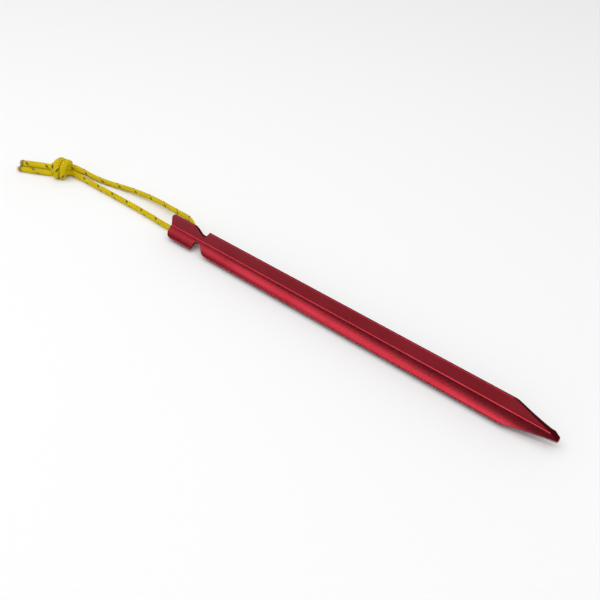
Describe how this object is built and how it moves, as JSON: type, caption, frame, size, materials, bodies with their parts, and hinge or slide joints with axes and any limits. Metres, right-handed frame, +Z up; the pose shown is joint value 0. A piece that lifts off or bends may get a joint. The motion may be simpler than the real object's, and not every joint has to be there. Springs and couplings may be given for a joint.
{
  "type": "tent stake",
  "caption": "Three-finned ground stake in red anodised aluminium with a pointed tip, hooked guy-line notches and a knotted yellow pull cord looped through an eyelet at its head.",
  "frame": {"origin": "on the axis of the three-finned section, at the head end face", "axes": "+X along the stake from head to tip, +Z up with the stake lying on two fins and the third upright, the cord's loop trailing towards -X"},
  "size_m": [0.275, 0.0271, 0.0111],
  "materials": {
    "anodised_metal": "satin red anodised, bead blasted",
    "cord_sheath": "braided yellow polyester with dark flecks",
    "cord_core": "cream parallel fibres, seen at the cut ends"
  },
  "bodies": {
    "stake": {"stake_body": "anodised_metal", "cord_sheath_bight": "cord_sheath", "cord_core_bight": "cord_core"},
    "loop_root": {"cord_sheath_root_upper": "cord_sheath", "cord_core_root_upper": "cord_core", "cord_sheath_root_lower": "cord_sheath", "cord_core_root_lower": "cord_core"},
    "loop_legs": {"cord_sheath_leg_upper": "cord_sheath", "cord_core_leg_upper": "cord_core", "cord_sheath_leg_lower": "cord_sheath", "cord_core_leg_lower": "cord_core"},
    "knot": {"cord_knot": "cord_sheath"},
    "upper_tail": {"cord_sheath_tail_upper": "cord_sheath", "cord_core_tail_upper": "cord_core"},
    "lower_tail": {"cord_sheath_tail_lower": "cord_sheath", "cord_core_tail_lower": "cord_core"}
  },
  "joints": [
    {"name": "loop_sway", "type": "hinge", "parent": "stake", "child": "loop_root", "pos_m": [-0.0028, 0.0046, -0.002], "axis": [0, 0, 1], "range_deg": [-30, 30]},
    {"name": "loop_lift", "type": "hinge", "parent": "loop_root", "child": "loop_legs", "pos_m": [-0.0113, 0.00099, -0.00357], "axis": [0, 0.9711, 0.2387], "range_deg": [0, 85]},
    {"name": "knot_bend", "type": "hinge", "parent": "loop_legs", "child": "knot", "pos_m": [-0.071, 0.0022, -0.0025], "axis": [0, 0, 1], "range_deg": [-30, 30]},
    {"name": "upper_tail_lift", "type": "hinge", "parent": "knot", "child": "upper_tail", "pos_m": [-0.0813, -0.0045, -0.0015], "axis": [-0.4659, 0.8848, 0], "range_deg": [0, 50]},
    {"name": "lower_tail_splay", "type": "hinge", "parent": "knot", "child": "lower_tail", "pos_m": [-0.0804, -0.0064, -0.00355], "axis": [0, 0, 1], "range_deg": [0, 40]}
  ]
}
